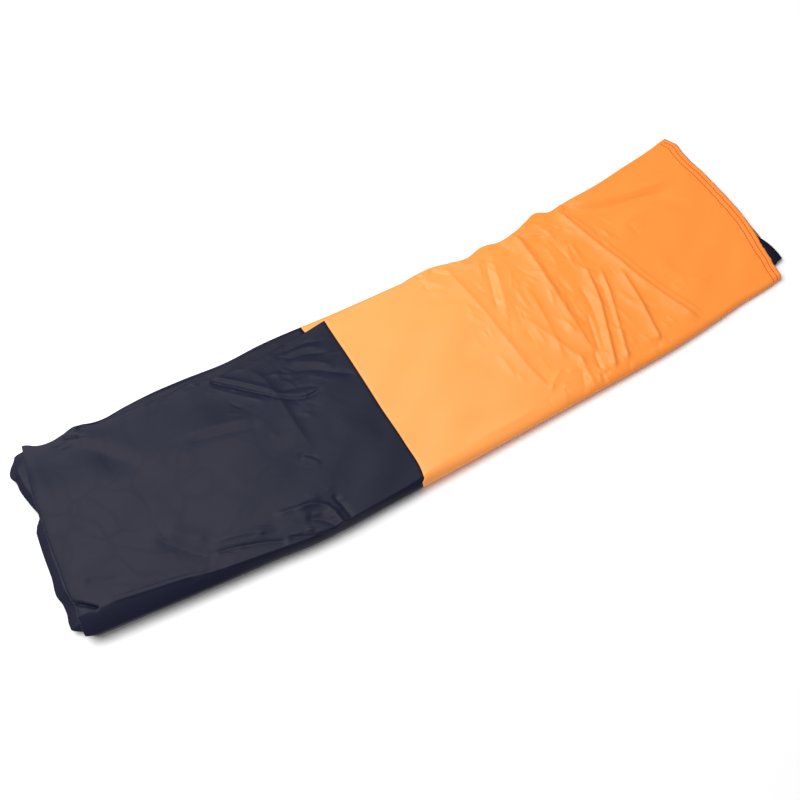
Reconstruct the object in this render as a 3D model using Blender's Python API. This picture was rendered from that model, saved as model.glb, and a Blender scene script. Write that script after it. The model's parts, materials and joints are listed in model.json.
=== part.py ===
"""A windsock sleeve of taffeta, laid flat and folded into a bundle.

The sleeve is a tube of two gores with side seams, an orange mouth band and a navy body. It is laid flat,
folded end to end so that the tail lies inside, then folded lengthwise like a book along its near edge. That
near fold is the hinge: the upper half of the bundle opens about it over the lower half, which rests on the
floor. Every cloth panel is therefore two solids, one on each side of the near fold.

The frame is in metres: +X runs from the folded end to the mouth, +Y from the near fold to the side seams, and
+Z up, with the origin below the middle of the bundle.
"""

import math

import bpy
from mathutils import Vector

# The bundle's outline, measured from the near fold's end at the folded end
MOUTH_X = 0.792
TAIL_X = 0.782
SEAM_X = 0.338
SEAM_X_LOWER = 0.312
FOLDED_END_X = 0.014
FOLDED_END_X_LOWER = 0.002
UPPER_WIDTH = 0.181
LOWER_WIDTH = 0.190
MOUTH_FLARE = 0.026
FLARE_START_X = 0.56
NEAR_BOW = 0.022
NEAR_BOW_FULLNESS = 0.75

# The stack, as heights from the middle plane of the bundle at its folded end and at its mouth
MOUTH_RUN = (0.0104, 0.0022)
TAIL_RUN = (0.0029, 0.0009)
GORE_GAP = (0.0019, 0.0004)
SEWN_GAP = 0.00045
CLOTH = 0.00025
HALF_STACK = tuple(run + gap + CLOTH / 2 for run, gap in zip(MOUTH_RUN, GORE_GAP))

# The folds
END_FOLD_DEPTH = 0.009
NEAR_FOLD_WIDTH = (0.022, 0.005)
NEAR_FOLD_NARROWS = (0.07, 0.18)
NEST_STEP = 0.8
NOSE_SHARE = 0.25
NOSE_MOST_SHARE = 0.98
NOSE_LEAST = 0.0003
REACH_LEAST = 0.001
HINGE_CLEARANCE = 0.0004

# Hems and thread
THREAD_WIDTH = 0.0006
THREAD_THICKNESS = 0.00022
THREAD_PROUD = 0.00045
INNER_ROW_SHIFT = 0.0015
MOUTH_HEM_ROWS = (0.0055, 0.0115)
TAIL_HEM_ROW = 0.008
SEAM_ROW = 0.0035
SIDE_ROW = 0.004
SIDE_TAPER = 0.022

# Where the sheets are divided. Every sheet of a half shares these places, so that the nested sheets stay apart
LENGTH_STEPS = (0.045, 0.080, 0.110, 0.140, 0.180, 0.240, 0.420, 0.500, 0.580, 0.650, 0.710, 0.755)
SEAM_GAP = 0.0004
END_FOLD_STEPS = 6
NEAR_FOLD_STEPS = 5
TAPER_STEPS = 3

ORANGE = (0.905, 0.365, 0.120)
NAVY = (0.036, 0.036, 0.055)
THREAD_RED = (0.720, 0.110, 0.035)
CLOTH_ROUGHNESS = 0.42
THREAD_ROUGHNESS = 0.6

UPPER = 1
LOWER = -1
OUTER = 1
INNER = -1

LEFT_X = FOLDED_END_X_LOWER - END_FOLD_DEPTH - CLOTH / 2
MIDDLE = ((MOUTH_X + LEFT_X) / 2, (LOWER_WIDTH + MOUTH_FLARE - NEAR_BOW) / 2)


def smoothstep(t):
    """0 below 0, 1 above 1, and a smooth rise between."""
    t = min(max(t, 0.0), 1.0)
    return t * t * (3.0 - 2.0 * t)


def along(ends, x):
    """A value that changes evenly from the folded end to the mouth."""
    return ends[0] + (ends[1] - ends[0]) * x / MOUTH_X


def near_edge(x):
    """The near fold's outline, which bows out between the two ends."""
    share = min(max(x / MOUTH_X, 0.0), 1.0)
    return -NEAR_BOW * math.sin(math.pi * share) ** NEAR_BOW_FULLNESS


def far_edge(x, half):
    """The side seams' outline, which flares towards the mouth."""
    flare = smoothstep((x - FLARE_START_X) / (MOUTH_X - FLARE_START_X))
    return (UPPER_WIDTH if half == UPPER else LOWER_WIDTH) + MOUTH_FLARE * flare


def near_fold_width(x):
    start, end = NEAR_FOLD_NARROWS
    wide, narrow = NEAR_FOLD_WIDTH
    return wide + (narrow - wide) * smoothstep((x - start) / (end - start))


def seam_x(half):
    return SEAM_X if half == UPPER else SEAM_X_LOWER


def folded_end_x(half):
    return FOLDED_END_X if half == UPPER else FOLDED_END_X_LOWER


def grid(half):
    """The places along the bundle where the sheets of one half are divided."""
    seam = seam_x(half)
    ends = (folded_end_x(half), seam - SEAM_GAP, seam + SEAM_GAP, TAIL_X, MOUTH_X)
    return sorted(LENGTH_STEPS + ends)


def station(heights, x):
    """(x, height, outward x, outward height) on a straight run of cloth."""
    return (x, along(heights, x), 0.0, 1.0 if heights is MOUTH_RUN else -1.0)


def run_stations(heights, x_from, x_to, half):
    """The stations from one end of a run to the other."""
    low, high = min(x_from, x_to), max(x_from, x_to)
    places = [x for x in grid(half) if low - 1e-6 < x < high + 1e-6]
    if x_to < x_from:
        places.reverse()
    return [station(heights, x) for x in places]


def end_fold_stations(half):
    """The turn at the folded end, from the mouth run round to the tail run."""
    end = folded_end_x(half)
    top = along(MOUTH_RUN, end)
    bottom = along(TAIL_RUN, end)
    centre = (top + bottom) / 2
    radius = (top - bottom) / 2
    depth = END_FOLD_DEPTH - GORE_GAP[0]
    stations = []
    for i in range(1, END_FOLD_STEPS):
        turn = math.pi * i / END_FOLD_STEPS
        x = end - depth * math.sin(turn)
        stations.append((x, centre + radius * math.cos(turn), -math.sin(turn), math.cos(turn)))
    return stations


def sheet_columns(x, half):
    """(y, share of the gore gap, turn of the near fold) across the sheet, from the side seam to the near fold."""
    far = far_edge(x, half)
    flat_end = near_edge(x) + near_fold_width(x)
    columns = []
    for i in range(TAPER_STEPS):
        columns.append((far - SIDE_TAPER * i / TAPER_STEPS, smoothstep(i / TAPER_STEPS), 0.0))
    columns.append((far - SIDE_TAPER, 1.0, 0.0))
    for i in range(NEAR_FOLD_STEPS + 1):
        columns.append((flat_end, 1.0, i / NEAR_FOLD_STEPS))
    return columns


def place(stop, column, gore, half, proud=0.0):
    """A point of a sheet in the bundle's frame. `proud` lifts it off the cloth, away from the other gore."""
    x, height, out_x, out_h = stop
    y, gap_share, turn = column
    gap = along(GORE_GAP, x)
    sewn = min(gap, SEWN_GAP)
    off = gore * (sewn + (gap - sewn) * gap_share) + proud
    x = x + out_x * off
    height = height + out_h * off
    if turn > 0.0:
        nose = max(height * NOSE_SHARE, NOSE_LEAST)
        last = math.acos(min(nose / height, NOSE_MOST_SHARE))
        nested = NEST_STEP * (along(HALF_STACK, x) - height)
        reach = near_fold_width(x) - nested
        y = y - max(reach, REACH_LEAST) * math.sin(turn * last) / math.sin(last)
        height = height * math.cos(turn * last)
    return x, y, along(HALF_STACK, x) + half * height


def material(name, colour, roughness):
    made = bpy.data.materials.new(name)
    made.use_nodes = True
    shader = made.node_tree.nodes["Principled BSDF"]
    shader.inputs["Base Color"].default_value = (*colour, 1.0)
    shader.inputs["Roughness"].default_value = roughness
    shader.inputs["Metallic"].default_value = 0.0
    made.diffuse_color = (*colour, 1.0)
    return made


def fold_axis_point():
    """The hinge's point: on the near fold's outermost line, at mid height, halfway along the bundle."""
    return (0.0, -NEAR_BOW - HINGE_CLEARANCE - MIDDLE[1], along(HALF_STACK, MIDDLE[0]))


def add_sheet(name, rows, half, thickness, colour, roughness, hinge):
    """A grid of points as one closed sheet of cloth or thread."""
    origin = fold_axis_point() if half == UPPER else (0.0, 0.0, 0.0)
    points = []
    for row in rows:
        for x, y, z in row:
            points.append((x - MIDDLE[0] - origin[0], y - MIDDLE[1] - origin[1], z - origin[2]))
    width = len(rows[0])
    faces = []
    for i in range(len(rows) - 1):
        for j in range(width - 1):
            corner = i * width + j
            faces.append((corner, corner + 1, corner + width + 1, corner + width))
    mesh = bpy.data.meshes.new(name)
    mesh.from_pydata(points, [], faces)
    mesh.shade_smooth()
    made = bpy.data.objects.new(name, mesh)
    bpy.context.scene.collection.objects.link(made)
    if half == UPPER:
        made.parent = hinge
    thicken = made.modifiers.new("thickness", "SOLIDIFY")
    thicken.thickness = thickness
    thicken.offset = 0.0
    mesh.materials.append(material(name, colour, roughness))
    return made


def panel(name, stations, gore, half, colour, hinge):
    rows = []
    for stop in stations:
        columns = sheet_columns(stop[0], half)
        rows.append([place(stop, column, gore, half) for column in columns])
    return add_sheet(name, rows, half, CLOTH, colour, CLOTH_ROUGHNESS, hinge)


def cross_row(name, run, x, gore, half, hinge):
    """A row of stitching across the sheet. It stands on the bundle's top face, or else lies between the gores."""
    on_top = run is MOUTH_RUN and gore == OUTER and half == UPPER
    proud = THREAD_PROUD if on_top else 0.0
    level = gore if on_top else 0
    x = x - INNER_ROW_SHIFT if gore == INNER else x
    before = max(p for p in grid(half) if p < x)
    after = min(p for p in grid(half) if p > x)
    ends = []
    for end in (before, after):
        columns = sheet_columns(end, half)[1:]
        ends.append([place(station(run, end), c, level, half, proud) for c in columns])
    rows = []
    for edge in (x - THREAD_WIDTH / 2, x + THREAD_WIDTH / 2):
        share = (edge - before) / (after - before)
        rows.append([tuple(Vector(a).lerp(Vector(b), share)) for a, b in zip(*ends)])
    return add_sheet(name, rows, half, THREAD_THICKNESS, THREAD_RED, THREAD_ROUGHNESS, hinge)


def side_row(name, stations, half, hinge):
    """The side seam's stitching, between the two gores along their sewn edge."""
    rows = []
    for stop in stations:
        y = far_edge(stop[0], half) - SIDE_ROW
        ends = ((y, 0.0, 0.0), (y - THREAD_WIDTH, 0.0, 0.0))
        rows.append([place(stop, end, 0.0, half) for end in ends])
    return add_sheet(name, rows, half, THREAD_THICKNESS, NAVY, THREAD_ROUGHNESS, hinge)


def build_half(half, hinge):
    word = "upper" if half == UPPER else "lower"
    seam = seam_x(half)
    orange = run_stations(MOUTH_RUN, MOUTH_X, seam + SEAM_GAP, half)
    end = folded_end_x(half)
    mouth_part = run_stations(MOUTH_RUN, seam - SEAM_GAP, end, half)
    tail_part = run_stations(TAIL_RUN, end, TAIL_X, half)
    navy = mouth_part + end_fold_stations(half) + tail_part
    whole = run_stations(MOUTH_RUN, MOUTH_X, end, half) + end_fold_stations(half) + tail_part
    for gore, gore_word in ((OUTER, "outer"), (INNER, "inner")):
        panel(f"{word}_{gore_word}_mouth_band", orange, gore, half, ORANGE, hinge)
        panel(f"{word}_{gore_word}_body_panel", navy, gore, half, NAVY, hinge)
        for row, (inset, row_word) in enumerate(zip(MOUTH_HEM_ROWS, ("edge", "second"))):
            name = f"{word}_{gore_word}_mouth_hem_{row_word}_row"
            cross_row(name, MOUTH_RUN, MOUTH_X - inset, gore, half, hinge)
        cross_row(f"{word}_{gore_word}_band_seam_row", MOUTH_RUN, seam - SEAM_ROW, gore, half, hinge)
        cross_row(f"{word}_{gore_word}_tail_hem_row", TAIL_RUN, TAIL_X - TAIL_HEM_ROW, gore, half, hinge)
    side_row(f"{word}_side_seam_row", whole, half, hinge)


def main():
    for old in list(bpy.data.objects):
        bpy.data.objects.remove(old, do_unlink=True)
    hinge = bpy.data.objects.new("near_fold_hinge", None)
    hinge.location = fold_axis_point()
    bpy.context.scene.collection.objects.link(hinge)
    build_half(LOWER, None)
    build_half(UPPER, hinge)


main()
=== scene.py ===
# %% [markdown]
# # A folded windsock sleeve
# A windsock's sleeve is a light tube of coated taffeta: an orange band at the mouth and a navy body down
# to the tail. Here it lies as it comes out of its bag, laid flat, folded end to end with the tail inside,
# and then folded once more lengthwise, like a book. The frame that this lesson starts from holds the two
# halves of that book as CAD bodies, with the hinge between them along the near fold.

# %% The fixed frame
import json
import math

import bpy
import numpy as np
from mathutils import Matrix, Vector

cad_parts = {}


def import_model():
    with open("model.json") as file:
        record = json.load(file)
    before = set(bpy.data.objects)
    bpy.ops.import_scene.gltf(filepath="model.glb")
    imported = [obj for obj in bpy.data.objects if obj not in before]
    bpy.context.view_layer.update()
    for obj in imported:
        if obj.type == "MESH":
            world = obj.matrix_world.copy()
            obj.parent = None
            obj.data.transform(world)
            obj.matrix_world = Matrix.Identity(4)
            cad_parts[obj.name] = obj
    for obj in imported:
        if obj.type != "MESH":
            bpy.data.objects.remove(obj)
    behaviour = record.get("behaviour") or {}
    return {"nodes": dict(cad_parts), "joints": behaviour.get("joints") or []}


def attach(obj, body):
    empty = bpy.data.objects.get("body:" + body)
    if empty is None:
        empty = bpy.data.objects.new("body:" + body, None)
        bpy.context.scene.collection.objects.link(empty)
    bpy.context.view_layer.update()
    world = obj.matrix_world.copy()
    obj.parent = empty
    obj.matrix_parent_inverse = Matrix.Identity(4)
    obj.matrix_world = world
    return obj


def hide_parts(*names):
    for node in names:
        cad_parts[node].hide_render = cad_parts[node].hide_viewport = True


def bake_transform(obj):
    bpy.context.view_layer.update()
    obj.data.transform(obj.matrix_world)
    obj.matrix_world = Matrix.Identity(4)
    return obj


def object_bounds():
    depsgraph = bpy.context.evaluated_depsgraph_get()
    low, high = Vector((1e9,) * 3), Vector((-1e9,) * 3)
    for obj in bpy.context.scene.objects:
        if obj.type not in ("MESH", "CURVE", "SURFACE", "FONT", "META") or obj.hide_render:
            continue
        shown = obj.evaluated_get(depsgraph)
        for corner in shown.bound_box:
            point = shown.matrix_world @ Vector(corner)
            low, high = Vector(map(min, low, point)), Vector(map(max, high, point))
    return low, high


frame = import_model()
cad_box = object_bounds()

# %% [markdown]
# ## Where things are
# Every place in this lesson is measured on the bundle itself: x runs from the folded end to the mouth, y
# runs from the near fold to the side seams, and heights are measured from the middle plane between the
# two halves. That plane is where the book opens, and it slopes down to the mouth, because the folded end
# is thicker. The hinge of the frame gives the plane, and the CAD box gives the ends.

# %% Bundle coordinates
hinge = frame["joints"][0]
HINGE = Vector(hinge["pos_m"])
HINGE_AXIS = Vector(hinge["axis"])
SLOPE = HINGE_AXIS.z / HINGE_AXIS.x
START = cad_box[0].x + 0.0071
NEAR = HINGE.y + 0.0224
MOUTH_X = 0.792
UPPER, LOWER = 1.0, -1.0
OUTER, INNER = 1.0, -1.0


def world(x, y, z):
    """A place on the bundle as a place in the frame."""
    return np.stack([x + START, y + NEAR, z], axis=-1)


def middle(x):
    """The height of the middle plane above the floor."""
    return HINGE.z + (x + START - HINGE.x) * SLOPE


print("middle plane:", round(middle(0.0) * 1000, 2), "mm to", round(middle(MOUTH_X) * 1000, 2), "mm")

# %% Smooth curves and steps


def smooth(t):
    """0 below 0, 1 above 1, and a smooth rise between."""
    t = np.clip(t, 0.0, 1.0)
    return t * t * (3.0 - 2.0 * t)


def outline(*points):
    """A smooth curve through (place, value) pairs in millimetres, as a function in metres."""
    places, values = np.array(points, float).T / 1000
    steps = np.diff(places)
    slopes = np.diff(values) / steps
    tangents = np.zeros(len(places))
    tangents[0], tangents[-1] = slopes[0], slopes[-1]
    for i in range(1, len(places) - 1):
        before, after = steps[i - 1], steps[i]
        tangents[i] = (slopes[i - 1] * after + slopes[i] * before) / (before + after)

    def value(at):
        at = np.clip(np.asarray(at, float), places[0], places[-1])
        i = np.clip(np.searchsorted(places, at, side="right") - 1, 0, len(steps) - 1)
        t = (at - places[i]) / steps[i]
        h00 = 2 * t**3 - 3 * t**2 + 1
        h10 = t**3 - 2 * t**2 + t
        h01 = 3 * t**2 - 2 * t**3
        h11 = t**3 - t**2
        ends = h00 * values[i] + h01 * values[i + 1]
        return ends + steps[i] * (h10 * tangents[i] + h11 * tangents[i + 1])

    return value


# %% [markdown]
# ## The outline of the folded bundle
# A limp sleeve never folds to a ruler's edge. The near fold bows out, the side seams of the upper half
# wander a few millimetres inside those of the lower half, and the folded end of the lower half sticks out
# in two lobes. Each edge is one smooth curve through a few given points.

# %% Edges
FAR_UPPER = outline(
    (0, 201), (14, 203), (19, 202), (30, 195.5), (45, 193), (56, 194.5), (69, 197), (76, 195.5), (84, 191),
    (96, 190), (111, 188), (146, 186), (165, 184.5), (184, 186), (207, 181), (235, 177.5), (251, 177),
    (281, 180), (313, 182), (346, 185.5), (388, 185.5), (421, 185), (445, 188), (467, 187.5), (483, 183.5),
    (503, 180), (523, 184.5), (548, 181), (566, 184), (581, 189), (598, 194), (610, 188.5), (626, 190),
    (679, 194), (713, 199), (749, 204), (779, 210), (800, 213),
)
FAR_LOWER = outline(
    (-8, 188), (5, 198), (20, 199), (50, 198), (75, 201), (84, 198), (92, 196.5), (121, 198), (148, 199),
    (183, 197.5), (229, 194), (266, 195.5), (313, 194), (346, 192), (388, 190.5), (445, 188), (500, 178),
    (560, 179), (620, 186), (700, 195), (779, 207), (800, 210),
)
NEAR_FOLD = outline(
    (-10, -1), (0, -2), (36, -5), (86, -9.5), (126, -13), (185, -17.5), (221, -21), (250, -21.8),
    (300, -21), (370, -20), (435, -18.5), (518, -16.5), (592, -15), (633, -13.5), (687, -8.5), (730, -3.5),
    (766, -1), (782, 1), (800, 2),
)
FOLD_WIDTH = outline(
    (-10, 20), (20, 19.5), (63, 17.5), (95, 14.5), (131, 9.5), (173, 6), (244, 4), (316, 5), (404, 13),
    (477, 13), (560, 10), (700, 7), (800, 4),
)
END_UPPER = outline(
    (-25, 0.5), (0, 0.5), (14, 1), (26, 4), (34, 3), (42, 2.3), (55, 2.7), (70, 4), (89, 4.5), (119, 7),
    (142, 8), (175, 12), (190, 14.5), (202, 17), (215, 20),
)
END_LOWER = outline(
    (-25, 0), (10, -4), (14, -7.5), (32, -7.2), (42, -7.5), (48, -9.2), (69, -7), (89, -6), (116, -3.6),
    (119.5, -3.2), (120.5, -2.4), (129, 4.4), (131, 4.8), (144, 2), (165, -2), (173, -2), (180, -5),
    (186, -3.5), (196, 4.5), (210, 9),
)
MOUTH_UPPER = outline(
    (-25, 782), (1, 782.5), (14, 783.5), (29, 786.5), (45, 788), (57, 790), (82, 793), (110, 792),
    (122, 791.5), (150, 789), (172, 785.5), (188, 785), (197, 785.5), (204, 782), (214, 777),
)
MOUTH_LOWER = outline(
    (-25, 782), (1, 781), (14, 782), (30, 787), (44, 793), (52, 795.5), (71, 795.5), (96, 796), (107, 794),
    (125, 791), (150, 787), (200, 783), (214, 775),
)
SEAM_UPPER = outline(
    (-25, 337), (-13, 341), (27, 342), (68, 340), (110, 339), (149, 338), (184, 337), (215, 336),
)
SEAM_LOWER = outline(
    (-25, 337), (0, 334), (60, 318), (120, 314), (184, 315), (193, 314), (215, 313),
)
TAIL_UPPER = outline(
    (-25, 797), (16, 797), (22, 798), (33, 798), (44, 796), (50, 794), (57, 791), (70, 787), (100, 779),
    (190, 758), (220, 752),
)
TAIL_LOWER = outline(
    (-25, 790), (16, 786), (30, 781), (100, 772), (190, 750), (220, 745),
)
TAIL_FOLD_END = 0.790
CORNER_END = 0.0008
TAIL_TAPER = 0.015
TAIL_SIDE_INSET = 0.014

print("near fold bows out by", round(-float(NEAR_FOLD(0.3)) * 1000, 1), "mm")

# %% [markdown]
# ## The layers
# From the middle plane outwards each half holds four layers: the tail run of the outer gore and of the
# inner gore, then the mouth run of the inner gore and of the outer gore. Heights shrink towards the
# mouth, where nothing is left between the layers but a little air. These values repeat the CAD frame's.

# %% Layer heights
HALF_STACK = (middle(0.0), middle(MOUTH_X))
MOUTH_RUN = (0.0104, 0.0022)
TAIL_RUN = (0.0029, 0.0009)
GORE_GAP = (0.0019, 0.0004)
SEWN_GAP = 0.00012
CLOTH = 0.00016
END_DEPTH = 0.0075
SIDE_TAPER = 0.020
NOSE_SHARE = 0.25
NOSE_LEAST = 0.0003
NEST_STEP = 0.8
SLOPE_SHARE = 0.72
FAR_SINK = (0.70, 0.40)
FAR_SINK_WIDTH = 0.075
END_SINK = 0.04
END_SINK_WIDTH = 0.045
EDGE_LIFT = 0.0035
EDGE_LIFT_WIDTH = 0.035
TIP = {UPPER: 0.80, LOWER: 0.40}
HEM_DEPTH = 0.014
HEM_DROP = 0.00022
HEM_ROWS = (0.0055, 0.0112)


def along(ends, x):
    """A value that changes evenly from the folded end to the mouth."""
    return ends[0] + (ends[1] - ends[0]) * x / MOUTH_X


# %% [markdown]
# ## Creases
# Taffeta is crisp. It doesn't drape in soft waves but breaks into sharp ridges that run from one pinch to
# the next, with flat facets between them. Each crease is a short curve with a height, a width on either
# side and a sharpness, and the surface is their sum. The large ones are drawn one by one. Between them
# the crushed zones are filled with short fine creases, placed at random about a heading, since crushed
# cloth keeps all its small folds.

# %% Crease fields
CREASE_POINTS = 14
CREASE_REACH = 3.4
CREASE_ROUND = 0.002
CREASE_TIP = 0.045
CREASE_DECAY = 1.9


def through(points):
    """A smooth run of points through the given ones."""
    lengths = np.concatenate([[0.0], np.cumsum(np.linalg.norm(np.diff(points, axis=0), axis=1))])
    stops = np.linspace(0, lengths[-1], CREASE_POINTS)
    padded = np.concatenate([[2 * points[0] - points[1]], points, [2 * points[-1] - points[-2]]])
    found = []
    for stop in stops:
        i = min(int(np.searchsorted(lengths, stop, side="right")) - 1, len(points) - 2)
        t = (stop - lengths[i]) / (lengths[i + 1] - lengths[i])
        a, b, c, d = padded[i : i + 4]
        spline = 2 * b + (c - a) * t + (2 * a - 5 * b + 4 * c - d) * t**2 + (3 * b - a - 3 * c + d) * t**3
        found.append(spline / 2)
    return np.array(found)


def crease(x, y, points, height, left, right, sharp, fade):
    """The height that one crease adds at each place. left and right are its widths, seen along its points."""
    line = through(np.array(points, float) / 1000)
    margin = CREASE_REACH * max(left, right) / 1000
    lowest, highest = line.min(axis=0) - margin, line.max(axis=0) + margin
    near_by = (x > lowest[0]) & (x < highest[0]) & (y > lowest[1]) & (y < highest[1])
    whole = np.zeros(x.shape)
    x, y = x[near_by], y[near_by]
    best = np.full(x.shape, 1e9)
    side = np.zeros(x.shape)
    place = np.zeros(x.shape)
    count = len(line) - 1
    for i in range(count):
        ax, ay = line[i]
        dx, dy = line[i + 1] - line[i]
        t = np.clip(((x - ax) * dx + (y - ay) * dy) / (dx * dx + dy * dy), 0, 1)
        ox, oy = x - ax - t * dx, y - ay - t * dy
        far = np.hypot(ox, oy)
        closer = far < best
        best = np.where(closer, far, best)
        side = np.where(closer, dx * oy - dy * ox, side)
        place = np.where(closer, (i + t) / count, place)
    width = np.where(side > 0, left, right) / 1000
    q = np.sqrt((best / width) ** 2 + CREASE_ROUND) - CREASE_TIP
    profile = sharp * np.exp(-CREASE_DECAY * q) + (1 - sharp) * np.exp(-(q**2))
    ends = smooth(place / fade[0]) * smooth((1 - place) / fade[1])
    whole[near_by] = height / 1000 * profile * ends
    return whole


# points, height, width to the left, width to the right (all in millimetres), sharpness, fades
ORANGE_CREASES = (
    (((619, 184), (630, 140), (641, 100), (652, 62), (676, -2)), 3.2, 6, 12, 0.9, (0.06, 0.08)),
    (((626, 182), (638, 140), (649, 100), (660, 62), (684, 0)), 1.2, 2.4, 3, 0.85, (0.1, 0.1)),
    (((563, 186), (564, 150), (562, 105), (560, 60), (559, 18)), 2.8, 6, 13, 0.9, (0.05, 0.15)),
    (((569, 182), (571, 150), (568, 105), (566, 60)), -0.5, 4, 3, 0.6, (0.1, 0.3)),
    (((477, 184), (484, 130), (488, 85), (491, 40), (499, 0)), 1.5, 4, 13.5, 0.8, (0.08, 0.12)),
    (((520, 170), (509, 139), (497, 104)), -1.1, 2.5, 3.5, 0.8, (0.25, 0.2)),
    (((528, 173), (517, 138), (504, 98)), 1.4, 11, 3, 0.75, (0.25, 0.25)),
    (((540, 128), (538, 95), (534, 60), (527, 22)), 1.4, 4, 12, 0.8, (0.3, 0.2)),
    (((514, 96), (528, 62), (547, 10)), 1.4, 4, 10, 0.8, (0.3, 0.12)),
    (((562, 184), (573, 172), (598, 160)), -2.6, 2.6, 6, 0.85, (0.1, 0.3)),
    (((572, 188), (586, 180), (608, 170)), 1.1, 6, 4, 0.6, (0.2, 0.3)),
    (((582, 150), (600, 142), (620, 138)), 0.7, 8.5, 4, 0.6, (0.3, 0.3)),
    (((607, 116), (598, 72), (582, 30), (567, -8)), 3.2, 3.2, 9, 0.9, (0.15, 0.08)),
    (((620, 106), (611, 70), (597, 32), (583, -8)), 2.6, 3.2, 6, 0.9, (0.15, 0.08)),
    (((637, 92), (634, 50), (626, -2)), 3.0, 3.2, 13, 0.9, (0.12, 0.08)),
    (((590, 100), (584, 60), (568, 14)), -1.1, 4, 3.5, 0.7, (0.25, 0.15)),
    (((613, 92), (602, 56), (588, 14)), -0.9, 3.5, 3.5, 0.7, (0.25, 0.15)),
    (((577, 62), (570, 38), (563, 16)), -1.6, 2.4, 3, 0.9, (0.2, 0.2)),
    (((560, 24), (554, 0), (550, -18)), -2.2, 2.2, 3, 0.9, (0.2, 0.02)),
    (((545, 30), (541, 6), (538, -16)), 1.4, 3, 6, 0.85, (0.2, 0.05)),
    (((537, 10), (531, -4), (524, -17)), -1.0, 3.5, 4, 0.7, (0.2, 0.05)),
    (((516, 8), (509, -5), (501, -17)), 0.9, 5, 5, 0.6, (0.3, 0.05)),
    (((586, 2), (583, -8), (580, -16)), -0.9, 3.5, 4, 0.7, (0.2, 0.05)),
    (((622, 184), (664, 160), (706, 153), (752, 146)), -3.2, 8, 5, 0.6, (0.08, 0.3)),
    (((630, 188), (680, 172), (722, 164), (760, 158)), 2.2, 7, 9, 0.5, (0.15, 0.3)),
    (((668, 158), (716, 150), (757, 122)), -1.6, 5, 9, 0.5, (0.2, 0.3)),
    (((655, 138), (700, 138), (748, 126)), 1.4, 12, 13.5, 0.2, (0.3, 0.3)),
    (((716, 96), (736, 60), (760, 30)), -1.2, 22, 22, 0.0, (0.3, 0.3)),
    (((672, 84), (690, 52), (716, 26)), 1.4, 7, 13.5, 0.4, (0.3, 0.3)),
    (((446, 184), (458, 168), (472, 156)), 1.0, 7.5, 3.5, 0.7, (0.15, 0.35)),
    (((460, 186), (474, 172), (490, 165)), -1.0, 3.5, 5, 0.7, (0.1, 0.3)),
    (((492, 182), (502, 171), (516, 165)), 1.0, 3.5, 5, 0.7, (0.15, 0.3)),
    (((536, 184), (545, 172), (552, 158)), -0.9, 3.5, 5, 0.6, (0.1, 0.3)),
    (((420, 160), (450, 150), (480, 142)), -0.5, 10, 7, 0.3, (0.3, 0.3)),
    (((430, 96), (452, 70), (470, 40)), -0.4, 13.5, 10, 0.1, (0.3, 0.3)),
    (((494, 2), (506, 13), (522, 22)), 0.9, 4, 6, 0.7, (0.2, 0.3)),
    (((370, 34), (420, 24), (476, 16)), 0.5, 12, 10, 0.2, (0.3, 0.3)),
    (((392, -4), (440, -6), (486, -4)), 0.6, 6, 3.5, 0.5, (0.3, 0.3)),
)
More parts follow.
